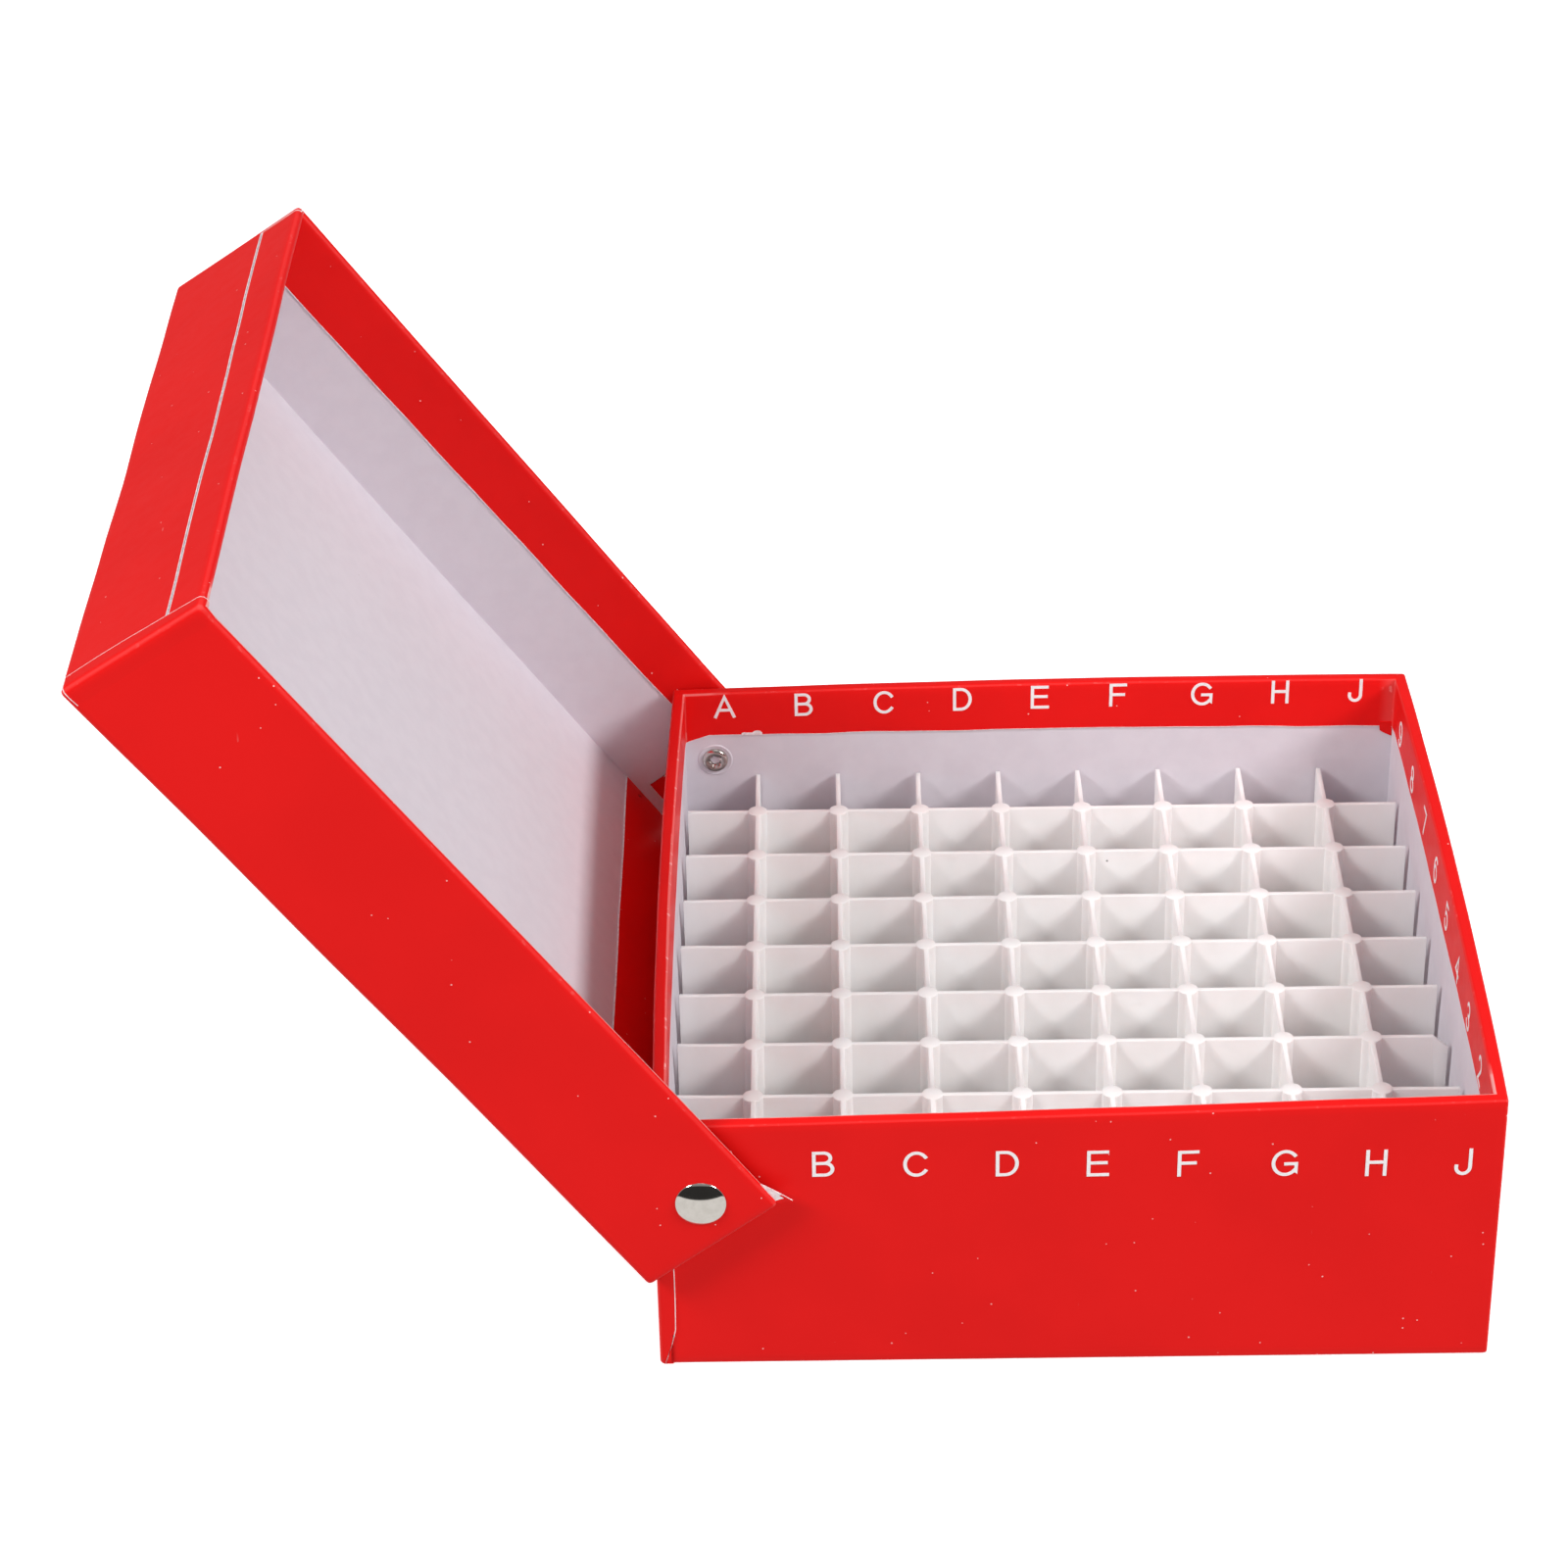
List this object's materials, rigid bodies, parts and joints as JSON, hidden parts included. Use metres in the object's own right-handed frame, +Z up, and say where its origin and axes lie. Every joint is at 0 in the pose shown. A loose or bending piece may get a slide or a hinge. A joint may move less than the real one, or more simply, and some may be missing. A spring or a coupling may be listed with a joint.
{
  "type": "cryogenic storage box",
  "caption": "Square red paperboard freezer box with a riveted flip lid, held open, and a loose white moulded divider that stands sample vials upright.",
  "frame": {"origin": "centre of the tray's bottom face, on the surface it stands on", "axes": "+Z up; -X is the riveted hinge end, over which the lid opens; -Y is the front wall with the column letters"},
  "size_m": [0.217, 0.1428, 0.1445],
  "materials": {
    "red_paper": "coated printed paper, satin",
    "lined_board": "white-lined greyboard, matt",
    "stay_paper": "plain kraft stay paper",
    "nickel_cap": "bright nickel plate",
    "nickel_shank": "nickel-plated, clinched",
    "divider_plastic": "moulded polypropylene, satin"
  },
  "bodies": {
    "tray": {"base_floor_board": "lined_board", "base_front_board": "lined_board", "base_back_board": "lined_board", "base_hinge_board": "lined_board", "base_end_board": "lined_board", "base_corner_tapes": "stay_paper", "base_wrap_sides": "red_paper", "base_wrap_bottom": "red_paper", "hinge_rivet_caps": "nickel_cap", "hinge_rivet_shanks": "nickel_shank"},
    "lid": {"lid_top_board": "lined_board", "lid_front_board": "lined_board", "lid_back_board": "lined_board", "lid_end_board": "lined_board", "lid_corner_tapes": "stay_paper", "lid_wrap": "red_paper", "lid_end_strip": "red_paper"},
    "divider": {"divider_posts": "divider_plastic", "divider_long_walls": "divider_plastic", "divider_cross_walls": "divider_plastic"}
  },
  "joints": [
    {"name": "lid_hinge", "type": "hinge", "parent": "tray", "child": "lid", "pos_m": [-0.0596, 0, 0.0347], "axis": [0, -1, 0], "range_deg": [-125.75, 0]},
    {"name": "divider_lift", "type": "slide", "parent": "tray", "child": "divider", "axis": [0, 0, 1], "range_m": [0, 0.017]}
  ]
}
